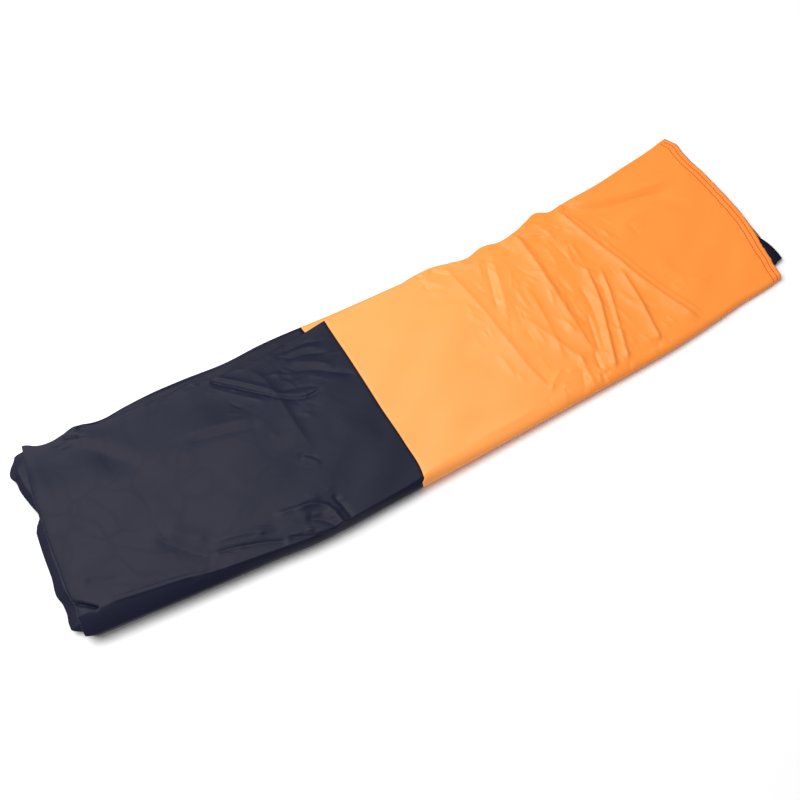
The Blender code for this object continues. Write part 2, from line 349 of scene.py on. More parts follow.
NAVY_CREASES = (
    (((205, 178), (227, 157), (254, 130)), -2.4, 1.8, 2.0, 0.9, (0.06, 0.05)),
    (((200, 174), (220, 153), (247, 127)), 0.5, 2.5, 6, 0.8, (0.15, 0.15)),
    (((211, 180), (232, 161), (258, 134)), 1.2, 5, 1.8, 0.85, (0.1, 0.15)),
    (((252, 131), (266, 121), (281, 114), (303, 114)), -2.0, 1.8, 1.8, 0.9, (0.05, 0.3)),
    (((255, 134), (268, 125), (284, 118), (306, 118)), 0.7, 3, 1.6, 0.8, (0.12, 0.3)),
    (((258, 133), (274, 130), (292, 122), (300, 114)), -0.7, 1.6, 1.8, 0.85, (0.15, 0.2)),
    (((238, 176), (252, 158), (257, 130), (258, 100), (260, 72), (262, 54)), 0.8, 5, 16, 0.6, (0.2, 0.3)),
    (((244, 62), (252, 60), (262, 50)), -1.0, 1.6, 1.8, 0.85, (0.2, 0.3)),
    (((246, 58), (254, 54), (262, 42)), 0.7, 2.5, 4, 0.7, (0.2, 0.3)),
    (((276, 150), (299, 141), (319, 126), (337, 113)), -1.0, 3, 4, 0.75, (0.2, 0.15)),
    (((284, 156), (303, 148), (322, 132)), 0.8, 5, 3, 0.7, (0.25, 0.25)),
    (((280, 162), (300, 160), (324, 149)), -1.0, 3, 3, 0.75, (0.2, 0.25)),
    (((286, 168), (304, 166), (322, 158)), 0.7, 4, 3, 0.6, (0.25, 0.25)),
    (((268, 174), (292, 172), (318, 170)), -0.8, 3, 3, 0.7, (0.25, 0.25)),
    (((155, 126), (185, 120), (213, 112), (233, 110)), -0.9, 4, 6.5, 0.6, (0.2, 0.2)),
    (((150, 134), (190, 128), (228, 118)), 0.7, 9.5, 3, 0.5, (0.25, 0.25)),
    (((52, 186), (72, 168), (88, 150), (104, 128), (118, 108)), -1.5, 9, 14, 0.2, (0.2, 0.4)),
    (((56, 190), (80, 174), (104, 152)), 0.8, 14, 9, 0.2, (0.25, 0.4)),
    (((54, 192), (62, 188), (71, 184)), -1.2, 1.6, 1.8, 0.85, (0.2, 0.2)),
    (((70, 192), (76, 196), (82, 193)), -1.7, 2, 2, 0.8, (0.2, 0.2)),
    (((90, 54), (105, 37), (120, 20), (135, 5)), -1.6, 6, 8, 0.4, (0.25, 0.12)),
    (((104, 56), (119, 40), (136, 24)), 0.8, 9, 6, 0.4, (0.25, 0.25)),
    (((132, 13), (157, 7), (180, -1), (200, -10)), -1.2, 3, 5, 0.75, (0.15, 0.1)),
    (((136, 22), (165, 16), (196, 4)), 0.9, 6.5, 3, 0.6, (0.25, 0.25)),
    (((199, -6), (214, -13), (234, -21)), -1.1, 3, 4, 0.7, (0.2, 0.05)),
    (((196, 20), (222, 15), (246, 14)), 1.2, 3, 6.5, 0.7, (0.25, 0.2)),
    (((216, 14), (234, 12), (248, 2), (253, -20)), 1.7, 3, 8, 0.8, (0.2, 0.03)),
    (((222, 2), (236, -6), (246, -18)), -1.2, 4, 4, 0.6, (0.2, 0.05)),
    (((256, 12), (259, 0), (262, -18)), -1.3, 3, 2.5, 0.7, (0.2, 0.05)),
    (((0, 33), (7, 28.5), (14, 23), (23, 15)), -4.2, 1.3, 2.2, 0.9, (0.05, 0.12)),
    (((25, 17), (50, 12.5), (81, 7), (114, 1)), 0.6, 1.5, 1.5, 0.85, (0.2, 0.2)),
    (((30, 21), (56, 16), (88, 10), (118, 4)), 0.5, 1.5, 1.5, 0.85, (0.2, 0.2)),
    (((30, 120), (70, 110), (110, 90)), 0.6, 19, 17.5, 0.0, (0.3, 0.3)),
    (((60, 60), (100, 74), (150, 70)), -0.5, 19, 16, 0.0, (0.3, 0.3)),
    (((170, 80), (210, 60), (240, 50)), 0.6, 17.5, 11, 0.2, (0.3, 0.3)),
    (((290, 90), (310, 60), (330, 40)), 0.6, 11, 14.5, 0.2, (0.3, 0.3)),
    (((20, 46), (36, 36), (58, 30)), -0.8, 5, 6.5, 0.5, (0.2, 0.3)),
)
EDGE_CREASES = (
    (((96, 193), (130, 195), (170, 192), (205, 190)), 1.2, 2.5, 2.5, 0.5, (0.2, 0.2)),
    (((150, 190), (190, 192), (240, 188), (280, 190)), 1.0, 2.5, 3, 0.5, (0.2, 0.2)),
    (((215, 190), (262, 191), (300, 190)), 1.0, 2, 2.5, 0.5, (0.2, 0.2)),
    (((8, 112), (2, 90), (1, 60), (4, 28)), 1.5, 3, 3, 0.5, (0.2, 0.2)),
    (((10, 190), (4, 176), (6, 150)), 1.2, 4, 3, 0.5, (0.2, 0.2)),
)


# where the cloth is crushed: centre, spread, heading in degrees and its spread, count, length, height, width
CRUSHED_ZONES = (
    ((585, 55), (40, 50), -82, 13, 46, 42, 1.00, 2.6),
    ((540, 120), (42, 48), -78, 15, 40, 40, 0.81, 2.6),
    ((620, 120), (36, 48), -74, 12, 26, 46, 0.75, 2.9),
    ((500, 60), (34, 50), -84, 14, 24, 40, 0.62, 2.7),
    ((570, 0), (50, 12), -78, 24, 34, 18, 1.06, 1.9),
    ((560, 172), (70, 12), -38, 26, 30, 22, 0.81, 2.1),
    ((690, 150), (46, 24), -14, 14, 14, 50, 0.50, 4.0),
    ((650, 30), (40, 26), -62, 18, 14, 30, 0.56, 2.6),
    ((284, 140), (30, 30), -26, 16, 26, 30, 0.53, 1.9),
    ((232, 150), (26, 24), -42, 14, 14, 30, 0.45, 1.9),
    ((175, 4), (44, 10), -16, 10, 18, 26, 0.50, 1.9),
    ((236, -2), (16, 12), -50, 30, 10, 18, 0.55, 2.0),
    ((200, 182), (90, 6), -4, 8, 24, 34, 0.56, 1.6),
    ((70, 180), (18, 12), -50, 24, 5, 20, 0.56, 1.9),
    ((20, 60), (14, 60), -80, 20, 8, 26, 0.38, 2.4),
)
CRUSHED_SEED = 31
CRUSHED_STRAY = 1.6
CRUSHED_LENGTHS = (0.35, 1.0)
CRUSHED_BEND = 0.12
CRUSHED_HEIGHTS = (0.4, 1.0)
CRUSHED_WIDTHS = (0.5, 1.6)
CRUSHED_SHARP = 0.85
CRUSHED_FADE = (0.4, 0.4)
UNDER_RIPPLE = 0.00012
UNDER_PITCH = 0.05


def crushed(x, y):
    """The fine creases of the crushed zones. Each is a short, slightly bent line, up or down."""
    draw = np.random.default_rng(CRUSHED_SEED)
    total = np.zeros(x.shape)
    for centre, spread, heading, turn, count, length, height, width in CRUSHED_ZONES:
        for _ in range(count):
            place = np.array(centre) + np.clip(draw.normal(size=2), -CRUSHED_STRAY, CRUSHED_STRAY) * spread
            angle = math.radians(heading + draw.normal() * turn)
            reach = length * draw.uniform(*CRUSHED_LENGTHS) / 2
            ahead = np.array([math.cos(angle), math.sin(angle)]) * reach
            aside = np.array([-ahead[1], ahead[0]]) * draw.uniform(-CRUSHED_BEND, CRUSHED_BEND)
            rise = height * draw.uniform(*CRUSHED_HEIGHTS) * draw.choice([-1, 1, 1])
            left, right = width * draw.uniform(*CRUSHED_WIDTHS, size=2)
            points = (tuple(place - ahead), tuple(place + aside), tuple(place + ahead))
            total += crease(x, y, points, rise, left, right, CRUSHED_SHARP, CRUSHED_FADE)
    return total


def top_creases(x, y):
    """The creases of the top layer, as a height at each place."""
    total = crushed(x, y)
    for points, height, left, right, sharp, fade in ORANGE_CREASES + NAVY_CREASES:
        total += crease(x, y, points, height, left, right, sharp, fade)
    return total


def under_creases(x, y):
    """The creases of the lower half's free edges, where they look out from under the upper half."""
    total = np.zeros(x.shape)
    for points, height, left, right, sharp, fade in EDGE_CREASES:
        total -= crease(x, y, points, height, left, right, sharp, fade)
    return total + UNDER_RIPPLE * ripple(x, y, UNDER_PITCH, 9)


RIPPLE_WAVES = 14
RIPPLE_PEAK = 5.0


def ripple(x, y, pitch, seed):
    """Slow random unevenness, from -1 to 1, as a sum of waves of about the given pitch."""
    draw = np.random.default_rng(seed)
    total = np.zeros(np.shape(x))
    for _ in range(RIPPLE_WAVES):
        turn = draw.uniform(0, math.pi)
        rate = 2 * math.pi / (pitch * draw.uniform(0.7, 1.7))
        total += np.sin((x * math.cos(turn) + y * math.sin(turn)) * rate + draw.uniform(0, 2 * math.pi))
    return total / RIPPLE_PEAK


print("creases:", len(ORANGE_CREASES) + len(NAVY_CREASES))

# %% [markdown]
# ## One cloth as a grid
# A panel is a grid of points: its rows run along the sleeve, and its columns run across it from the side
# seam of the upper half, over the bundle, round the near fold, and back under it to the side seam of the
# lower half. Each grid point is worked out from its run (mouth, turn or tail), its gore and its half, so
# neighbouring layers nest and never cross.

# %% Columns and rows
BAND, BODY, TURN, TAIL, HEM = 0, 1, 2, 3, 4


def closer_at_ends(count, squeeze):
    """Shares from 0 to 1 that stand closer together at both ends."""
    t = np.linspace(0, 1, count)
    return t - squeeze * np.sin(2 * np.pi * t) / (2 * np.pi)


def closer_at_end(count, squeeze):
    """Shares from 0 to 1 that stand closer together at 1."""
    t = np.linspace(0, 1, count)
    return (1 + squeeze) * t - squeeze * t**2


def columns(flat_count, fold_count, under_count):
    """(half, share across the flat, share round the fold) for each column."""
    made = [(UPPER, t, 0.0) for t in closer_at_ends(flat_count, 0.45)]
    made += [(UPPER, 1.0, t) for t in np.linspace(0, 1, fold_count + 1)[1:]]
    made += [(LOWER, 1.0, t) for t in np.linspace(1, 0, fold_count + 1)[:-1]]
    made += [(LOWER, t, 0.0) for t in closer_at_ends(under_count, 0.45)[::-1]]
    return np.array(made)


def band_rows(count):
    """The turned-under hem, then the band from the mouth to its seam."""
    hem = [(HEM, t) for t in np.linspace(0, 1, 9)]
    return np.array(hem + [(BAND, t) for t in np.linspace(0, 1, count)[1:]])


def body_rows(body_count, turn_count, tail_count):
    """The body from its seam to the folded end, round it, and back to the tail."""
    body = [(BODY, t) for t in closer_at_end(body_count, 0.3)]
    fold = np.linspace(-1, 1, turn_count)
    turn = [(TURN, 0.5 + 0.5 * np.sign(t) * abs(t) ** 1.5) for t in fold[1:-1]]
    tail = [(TAIL, 1 - t) for t in closer_at_end(tail_count, 0.5)[::-1]]
    return np.array(body + turn + tail)


# %% [markdown]
# ## Where each point lies
# Seen from above, a point lies between the outlines at its share of the way, which a few rounds of
# guessing find, because every outline depends on the other coordinate. Its height then comes from its
# layer, and round the near fold the layers nest in each other. The top layer takes all the creases, and
# lower layers take less and less of them, so that no layer cuts through its neighbour.

# %% Places seen from above
SEAM_GUESS = {UPPER: 0.338, LOWER: 0.314}
END_GUESS = 0.008
TAIL_GUESS = 0.785
GUESS_ROUNDS = 3
SEAM_FOLD_END = 0.337
MOUTH_FOLD_END = 0.782
END_CLEARANCE = 0.0022
END_GAP_SHARE = 1.2
INNER_MOUTH_INSET = 0.0010
INNER_TAIL_INSET = 0.002
TAIL_INSET, TAIL_INSET_LENGTH = 0.0015, 0.10
TAIL_TAPER_START, TAIL_TAPER_LENGTH = 0.60, 0.19
TIP_ROUND = 0.04
TIP_SHARP, TIP_BLUNT = 2.4, 1.3


def fold_line(half, turn, y, upper, lower, at_fold):
    """An end's outline for each column. Round the fold it runs from the half's outline to at_fold."""
    end = np.where(half > 0, upper(y), lower(y))
    return end + (at_fold - end) * smooth((turn - 0.2) / 0.5)


def seen_from_above(gore, kind, share, half, flat, turn):
    """x and y of each point, and the far edge, the fold's width, its taper, the mouth and the seam there."""
    upper = half > 0
    inner = 0.0 if gore > 0 else 1.0
    tail_side = (kind == TAIL) | ((kind == TURN) & (share > 0.5))
    around = np.cos(np.pi * share)
    tip_shape = (np.sqrt(around**2 + TIP_ROUND**2) - TIP_ROUND) / (1 - TIP_ROUND)
    tip_power = np.where(upper & (around > 0), TIP_SHARP, TIP_BLUNT)
    tip_share = 1 - np.minimum(tip_shape, 1.0) ** tip_power

    # a first guess of x gives y, and y then gives the true ends
    seam = np.where(upper, SEAM_GUESS[UPPER], SEAM_GUESS[LOWER])
    runs = [kind == HEM, kind == BAND, kind == BODY, kind == TURN]
    x = np.select(
        runs,
        [MOUTH_X, MOUTH_X + (seam - MOUTH_X) * share, seam + (END_GUESS - seam) * share, END_GUESS],
        END_GUESS + (TAIL_GUESS - END_GUESS) * share,
    )
    for _ in range(GUESS_ROUNDS):
        taper = TAIL_TAPER * smooth((x - TAIL_TAPER_START) / TAIL_TAPER_LENGTH) * tail_side
        inset = TAIL_INSET + TAIL_SIDE_INSET * smooth((x - END_GUESS) / TAIL_INSET_LENGTH)
        near = NEAR_FOLD(x)
        fold = FOLD_WIDTH(x) + taper
        far = np.where(upper, FAR_UPPER(x), FAR_LOWER(x)) - inset * (kind == TAIL)
        y = far + (near + fold - far) * flat
        deep = END_DEPTH + gore * along(GORE_GAP, x) * END_GAP_SHARE
        end = fold_line(half, turn, y, END_UPPER, END_LOWER, CORNER_END) + END_DEPTH + END_CLEARANCE
        mouth = fold_line(half, turn, y, MOUTH_UPPER, MOUTH_LOWER, MOUTH_FOLD_END) - inner * INNER_MOUTH_INSET
        seam = fold_line(half, turn, y, SEAM_UPPER, SEAM_LOWER, SEAM_FOLD_END)
        tail = fold_line(half, turn, y, TAIL_UPPER, TAIL_LOWER, TAIL_FOLD_END) - inner * INNER_TAIL_INSET
        x = np.select(
            runs,
            [
                mouth - HEM_DEPTH * (1 - share),
                mouth + (seam - mouth) * share,
                seam + (end - seam) * share,
                end - deep * tip_share,
            ],
            end + (tail - end) * share,
        )
    return x, y, far, fold, taper, mouth, seam


# %% Heights of the layers
END_SINK_START = 0.004
EDGE_LIFT_END = 0.9
HEM_TURN_SHARE = 0.15


def layer_height(gore, kind, share, upper, x, y, far):
    """Each point's height from the middle plane, and how far its layers sink towards that plane."""
    top, low = along(MOUTH_RUN, x), along(TAIL_RUN, x)
    free = smooth((far - y) / FAR_SINK_WIDTH)
    sink = np.where(upper, along(FAR_SINK, x) * (1 - free), 0.0)
    end_sink = np.where(upper, 1 - smooth((x - END_SINK_START) / END_SINK_WIDTH), 0.0)
    sink = 1 - (1 - sink) * (1 - END_SINK * end_sink)
    lift = np.where(upper, 0.0, EDGE_LIFT * (1 - smooth((far - y) / EDGE_LIFT_WIDTH)))
    top = top - lift * (1 - x / EDGE_LIFT_END)
    around = np.cos(np.pi * share)
    tip = low + (top - low) * np.where(upper, TIP[UPPER], TIP[LOWER])
    round_end = np.where(around > 0, tip + (top - tip) * around, tip + (tip - low) * around)
    height = np.select([kind == TAIL, kind == TURN], [low, round_end], top)
    outward = np.select([kind == TAIL, kind == TURN], [-1.0, around], 1.0)
    open_share = smooth((far - y) / SIDE_TAPER)
    gap = np.maximum(along(GORE_GAP, x) * open_share * (1 - sink), SEWN_GAP)
    turned = np.minimum(HEM_DROP, gap * 0.6) * smooth((1 - share) / HEM_TURN_SHARE)
    hem = np.where(kind == HEM, turned, 0.0)
    return height * (1 - sink) + outward * gore * (gap - hem), sink


# %% Round the near fold
SHORTEST_REACH = 0.001
BLUFF_END, BLUFF_FADE = 0.29, 0.10
LOWER_SLOPE_SHARE = 0.3


def round_near_fold(upper, turn, x, y, height, stack, fold, taper):
    """y and height where a layer goes round: a slope with a crisp upper edge, nested in the outer layers."""
    nose = np.maximum(height * NOSE_SHARE, NOSE_LEAST)
    last = np.arccos(np.minimum(nose / height, 0.98))
    reach = np.maximum(fold - NEST_STEP * (stack - height) - taper, SHORTEST_REACH)
    round_out = np.sin(turn * last) / np.sin(last)
    round_down = np.cos(turn * last)
    straight_down = 1 + (nose / height - 1) * turn
    bluff = SLOPE_SHARE * (1 - smooth((x - BLUFF_END) / BLUFF_FADE))
    slope_share = np.where(upper, bluff, LOWER_SLOPE_SHARE)
    y = y - reach * (slope_share * turn + (1 - slope_share) * round_out) * (turn > 0)
    return y, height * (slope_share * straight_down + (1 - slope_share) * round_down)


# %% Creases on the layers
PUCKER, PUCKER_PITCH = 0.00026, 0.012
PUCKER_DEPTH, PUCKER_FADE = 0.012, 0.004
STITCH_PULL, STITCH_PULL_WIDTH = 0.00018, 0.0007
SEAM_DIP, SEAM_DIP_WIDTH = 0.0005, 0.0011
SOFT_RIPPLE, SOFT_PITCH = 0.0004, 0.06
DEEPEST_CREASE = 0.55
UNDERSIDE_SKIN = 0.0006


def sewn_marks(gore, kind, turn, x, y, mouth, seam):
    """The pucker and the pulled rows of the mouth hem, and the dip along the colour seam."""
    mouth_zone = 1 - smooth((mouth - x - PUCKER_DEPTH) / PUCKER_FADE)
    hem_zone = np.where((kind == HEM) | (kind == BAND), mouth_zone, 0.0)
    rows_pull = sum(np.exp(-(((mouth - x - row) / STITCH_PULL_WIDTH) ** 2)) for row in HEM_ROWS)
    pucker = PUCKER * ripple(x * 0.3, y, PUCKER_PITCH, 21) * hem_zone
    pucker = pucker - STITCH_PULL * rows_pull * (kind == BAND)
    outer_face = (gore > 0) & (kind <= BODY)
    seam_dip = SEAM_DIP * np.exp(-(((x - seam) / SEAM_DIP_WIDTH) ** 2)) * outer_face
    return pucker, seam_dip * (1 - turn)


def creased_height(upper, turn, x, y, height, stack, sink, pucker, seam_dip):
    """The height with its creases: the top layer's in full, and less and less of them further down."""
    depth = np.clip(height / stack / np.maximum(1 - sink, 0.05), 0, 1)
    creased = np.where(upper, (1 - turn) * smooth(depth * 1.05), 0.0)
    field = creased * (top_creases(x, y) + SOFT_RIPPLE * ripple(x, y, SOFT_PITCH, 5))
    field = np.maximum(field, -DEEPEST_CREASE * height) + pucker * creased - seam_dip
    below = np.where(upper, 0.0, under_creases(x, y) * (1 - turn) * (stack - height > UNDERSIDE_SKIN))
    height = np.maximum(height + field + below, NOSE_LEAST)
    return np.where(upper, height, np.minimum(height, stack - CLOTH / 2))


# %% Grid points of a panel


def sheet_points(gore, row_array, column_array):
    """World positions of a panel's grid of points."""
    shape = (len(row_array), len(column_array))
    kind, share = (np.broadcast_to(row_array[:, [k]], shape) for k in (0, 1))
    half, flat, turn = (np.broadcast_to(column_array[:, k], shape) for k in (0, 1, 2))
    upper = half > 0
    x, y, far, fold, taper, mouth, seam = seen_from_above(gore, kind, share, half, flat, turn)
    stack = along(HALF_STACK, x)
    height, sink = layer_height(gore, kind, share, upper, x, y, far)
    y, height = round_near_fold(upper, turn, x, y, height, stack, fold, taper)
    marks = sewn_marks(gore, kind, turn, x, y, mouth, seam)
    height = creased_height(upper, turn, x, y, height, stack, sink, *marks)
    return world(x, y, middle(x) + half * height)


# %% Cloth with a thickness


def in_scene(name, data):
    """A new object that holds the data and is linked to the scene."""
    made = bpy.data.objects.new(name, data)
    bpy.context.scene.collection.objects.link(made)
    return made


def grid_normals(points):
    """A unit normal at each point of a grid."""
    along_rows = np.gradient(points, axis=0)
    along_columns = np.gradient(points, axis=1)
    normal = np.cross(along_rows, along_columns)
    return normal / np.maximum(np.linalg.norm(normal, axis=2, keepdims=True), 1e-12)


def arc_lengths(points, axis):
    """Distance walked along one way of the grid, in metres."""
    steps = np.linalg.norm(np.diff(points, axis=axis), axis=2)
    start = np.zeros_like(steps.take([0], axis=axis))
    return np.concatenate([start, np.cumsum(steps, axis=axis)], axis=axis)


def cloth_piece(name, points, masks):
    """A closed thin sheet from a grid of points, with the cut's lengths in metres as its UV map."""
    count_r, count_c = points.shape[:2]
    normal = grid_normals(points)
    both = np.concatenate([points + normal * CLOTH / 2, points - normal * CLOTH / 2])
    vertices = both.reshape(-1, 3)
    index = np.arange(count_r * count_c).reshape(count_r, count_c)
    a, b, c, d = index[:-1, :-1], index[:-1, 1:], index[1:, 1:], index[1:, :-1]
    over = np.stack([a, d, c, b], axis=-1).reshape(-1, 4)
    lift = count_r * count_c
    under = over[:, ::-1] + lift
    rim = np.concatenate([index[0, :], index[1:, -1], index[-1, -2::-1], index[-2:0:-1, 0]])
    ahead = np.roll(rim, -1)
    walls = np.stack([rim, ahead, ahead + lift, rim + lift], axis=-1)
    faces = np.concatenate([over, under, walls])
    mesh = bpy.data.meshes.new(name)
    mesh.from_pydata(vertices.tolist(), [], faces.tolist())
    u = np.broadcast_to(arc_lengths(points, 0).mean(axis=1, keepdims=True), (count_r, count_c))
    v = np.broadcast_to(arc_lengths(points, 1).mean(axis=0, keepdims=True), (count_r, count_c))
    uv = np.tile(np.stack([u, v], axis=-1).reshape(-1, 2), (2, 1))
    layer = mesh.uv_layers.new(name="cut")
    layer.data.foreach_set("uv", uv[faces.reshape(-1)].astype(np.float32).reshape(-1))
    for mask_name, values in masks.items():
        attribute = mesh.attributes.new(mask_name, "FLOAT", "POINT")
        attribute.data.foreach_set("value", np.tile(values.reshape(-1), 2).astype(np.float32))
    mesh.shade_smooth()
    mesh.validate()
    return in_scene(name, mesh)


def cross_fold(piece):
    """Bakes the sheet's transform into its points."""
    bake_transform(piece)


# %% [markdown]
# ## The camera
# The bundle is seen from above at a steep angle, with a lens a little longer than normal, so that its far
# edge is only slightly shorter than its near one.

# %% Camera
AIM = world(0.3638, 0.0736, 0.0)
CAMERA_DISTANCE = 1.10
CAMERA_PITCH = math.radians(65.0)
CAMERA_TURN = math.radians(29.1)
FOCAL_LENGTH_MM = 49.5
SENSOR_WIDTH_MM = 36.0
level = math.cos(CAMERA_PITCH)
back = Vector((-math.sin(CAMERA_TURN) * level, -math.cos(CAMERA_TURN) * level, math.sin(CAMERA_PITCH)))
lens = bpy.data.cameras.new("camera")
lens.lens = FOCAL_LENGTH_MM
lens.sensor_width = SENSOR_WIDTH_MM
camera = in_scene("camera", lens)
camera.location = Vector(AIM) + back * CAMERA_DISTANCE
camera.rotation_euler = back.to_track_quat("Z", "Y").to_euler()
bpy.context.scene.camera = camera
print("camera at", [round(v, 3) for v in camera.location])

# %% [markdown]
# ## Taffeta
# Coated taffeta is a plain weave of fine bright filament yarns with a thin coating. From a distance it
# looks smooth with a broad soft gloss, and close up the weave shows as a fine grid. Three effects are
# groups that both colours use: the weave itself, the fine crumple that handling leaves, and the paler
# line where a crease has been pressed. The orange is paler where it lies flat, next to the colour seam:
# that is a painted highlight, a mask on the panels that paints the overhead light's soft gloss into its
# base colour. It also glows a little in its own shadows, because light comes through thin cloth. A weak
# emission stands for that light.

# %% Node helpers


def new_group(name, inputs, outputs):
    """An empty node group with float inputs, given as (name, default), and float outputs."""
    group = bpy.data.node_groups.new(name, "ShaderNodeTree")
    for socket, default in inputs:
        made = group.interface.new_socket(name=socket, in_out="INPUT", socket_type="NodeSocketFloat")
        made.default_value = default
    for socket in outputs:
        group.interface.new_socket(name=socket, in_out="OUTPUT", socket_type="NodeSocketFloat")
    return group, group.nodes.new("NodeGroupInput"), group.nodes.new("NodeGroupOutput")


def math_node(tree, operation, first, second=None, clamp=False):
    """A math node whose inputs are sockets or numbers."""
    node = tree.nodes.new("ShaderNodeMath")
    node.operation = operation
    node.use_clamp = clamp
    for socket, value in zip(node.inputs, (first, second)):
        if value is None:
            continue
        if isinstance(value, (int, float)):
            socket.default_value = value
        else:
            tree.links.new(value, socket)
    return node.outputs[0]


def noise(tree, scale, detail):
    """A noise texture in the object's own metres."""
    place = tree.nodes.new("ShaderNodeTexCoord")
    made = tree.nodes.new("ShaderNodeTexNoise")
    made.inputs["Scale"].default_value = scale
    made.inputs["Detail"].default_value = detail
    tree.links.new(place.outputs["Object"], made.inputs["Vector"])
    return made


def make_weave_group():
    """Plain weave in the cut's own lengths: Height for bump, and Tint, lighter on the yarns' crowns."""
    inputs = [("Yarn pitch mm", 0.30), ("Relief", 1.0)]
    group, given, out = new_group("plain_weave", inputs, ["Height", "Tint"])
    cut = group.nodes.new("ShaderNodeUVMap")
    cut.uv_map = "cut"
    parts = group.nodes.new("ShaderNodeSeparateXYZ")
    group.links.new(cut.outputs[0], parts.inputs[0])
    rate = math_node(group, "DIVIDE", 2 * math.pi * 1000, given.outputs[0])
    warp = math_node(group, "SINE", math_node(group, "MULTIPLY", parts.outputs[0], rate))
    weft = math_node(group, "SINE", math_node(group, "MULTIPLY", parts.outputs[1], rate))
    crossed = math_node(group, "MULTIPLY", warp, weft)
    lifted = math_node(group, "MULTIPLY_ADD", crossed, 0.5)
    lifted.node.inputs[2].default_value = 0.5
    group.links.new(math_node(group, "MULTIPLY", lifted, given.outputs[1]), out.inputs[0])
    group.links.new(lifted, out.inputs[1])
    return group


def make_crumple_group():
    """Fine handling creases: thin ridges between flat facets, as Height, and their lines as Lines."""
    inputs = [("Facet rate", 26.0), ("Relief", 1.0)]
    group, given, out = new_group("handling_crumple", inputs, ["Height", "Lines"])
    place = group.nodes.new("ShaderNodeTexCoord")
    bend = noise(group, 9.0, 2.0)
    mixed = group.nodes.new("ShaderNodeMix")
    mixed.data_type = "VECTOR"
    mixed.inputs["Factor"].default_value = 0.15
    group.links.new(place.outputs["Object"], mixed.inputs[4])
    group.links.new(bend.outputs["Color"], mixed.inputs[5])
    facets = group.nodes.new("ShaderNodeTexVoronoi")
    facets.feature = "DISTANCE_TO_EDGE"
    group.links.new(mixed.outputs[1], facets.inputs["Vector"])
    group.links.new(given.outputs[0], facets.inputs["Scale"])
    line = math_node(group, "SUBTRACT", 1.0, math_node(group, "MULTIPLY", facets.outputs[0], 9.0), clamp=True)
    some = math_node(group, "MULTIPLY", line, noise(group, 30.0, 3.0).outputs[0])
    group.links.new(math_node(group, "MULTIPLY", some, given.outputs[1]), out.inputs[0])
    group.links.new(some, out.inputs[1])
    return group


def make_press_group():
    """A mask of the folds and ridges, from the crest value that the panels carry, broken up by noise."""
    group, given, out = new_group("pressed_creases", [("Amount", 1.0)], ["Mask"])
    crest = group.nodes.new("ShaderNodeAttribute")
    crest.attribute_name = "crest"
    share = math_node(group, "MULTIPLY", crest.outputs["Fac"], noise(group, 140.0, 2.0).outputs[0])
    group.links.new(math_node(group, "MULTIPLY", share, given.outputs[0], clamp=True), out.inputs[0])
    return group


WEAVE = make_weave_group()
CRUMPLE = make_crumple_group()
PRESS = make_press_group()
print("node groups:", WEAVE.name, CRUMPLE.name, PRESS.name)

# %% Taffeta materials


def new_material(name):
    """An empty material, its node tree and its Principled BSDF."""
    made = bpy.data.materials.new(name)
    made.use_nodes = True
    return made, made.node_tree, made.node_tree.nodes["Principled BSDF"]


def bump(tree, height, strength, distance):
    """A bump node that stands distance metres high."""
    node = tree.nodes.new("ShaderNodeBump")
    node.inputs["Strength"].default_value = strength
    node.inputs["Distance"].default_value = distance
    tree.links.new(height, node.inputs["Height"])
    return node


def place_group(tree, group, **values):
    """A group's node in a material. Each value is named for its socket, with _ for a space."""
    node = tree.nodes.new("ShaderNodeGroup")
    node.node_tree = group
    for socket, value in values.items():
        node.inputs[socket.replace("_", " ")].default_value = value
    return node


def mix_colour(tree, factor, first, second):
    """A colour mix whose colours are sockets or RGB values."""
    node = tree.nodes.new("ShaderNodeMix")
    node.data_type = "RGBA"
    tree.links.new(factor, node.inputs[0])
    for socket, value in ((node.inputs[6], first), (node.inputs[7], second)):
        if isinstance(value, tuple):
            socket.default_value = (*value, 1.0)
        else:
            tree.links.new(value, socket)
    return node.outputs[2]


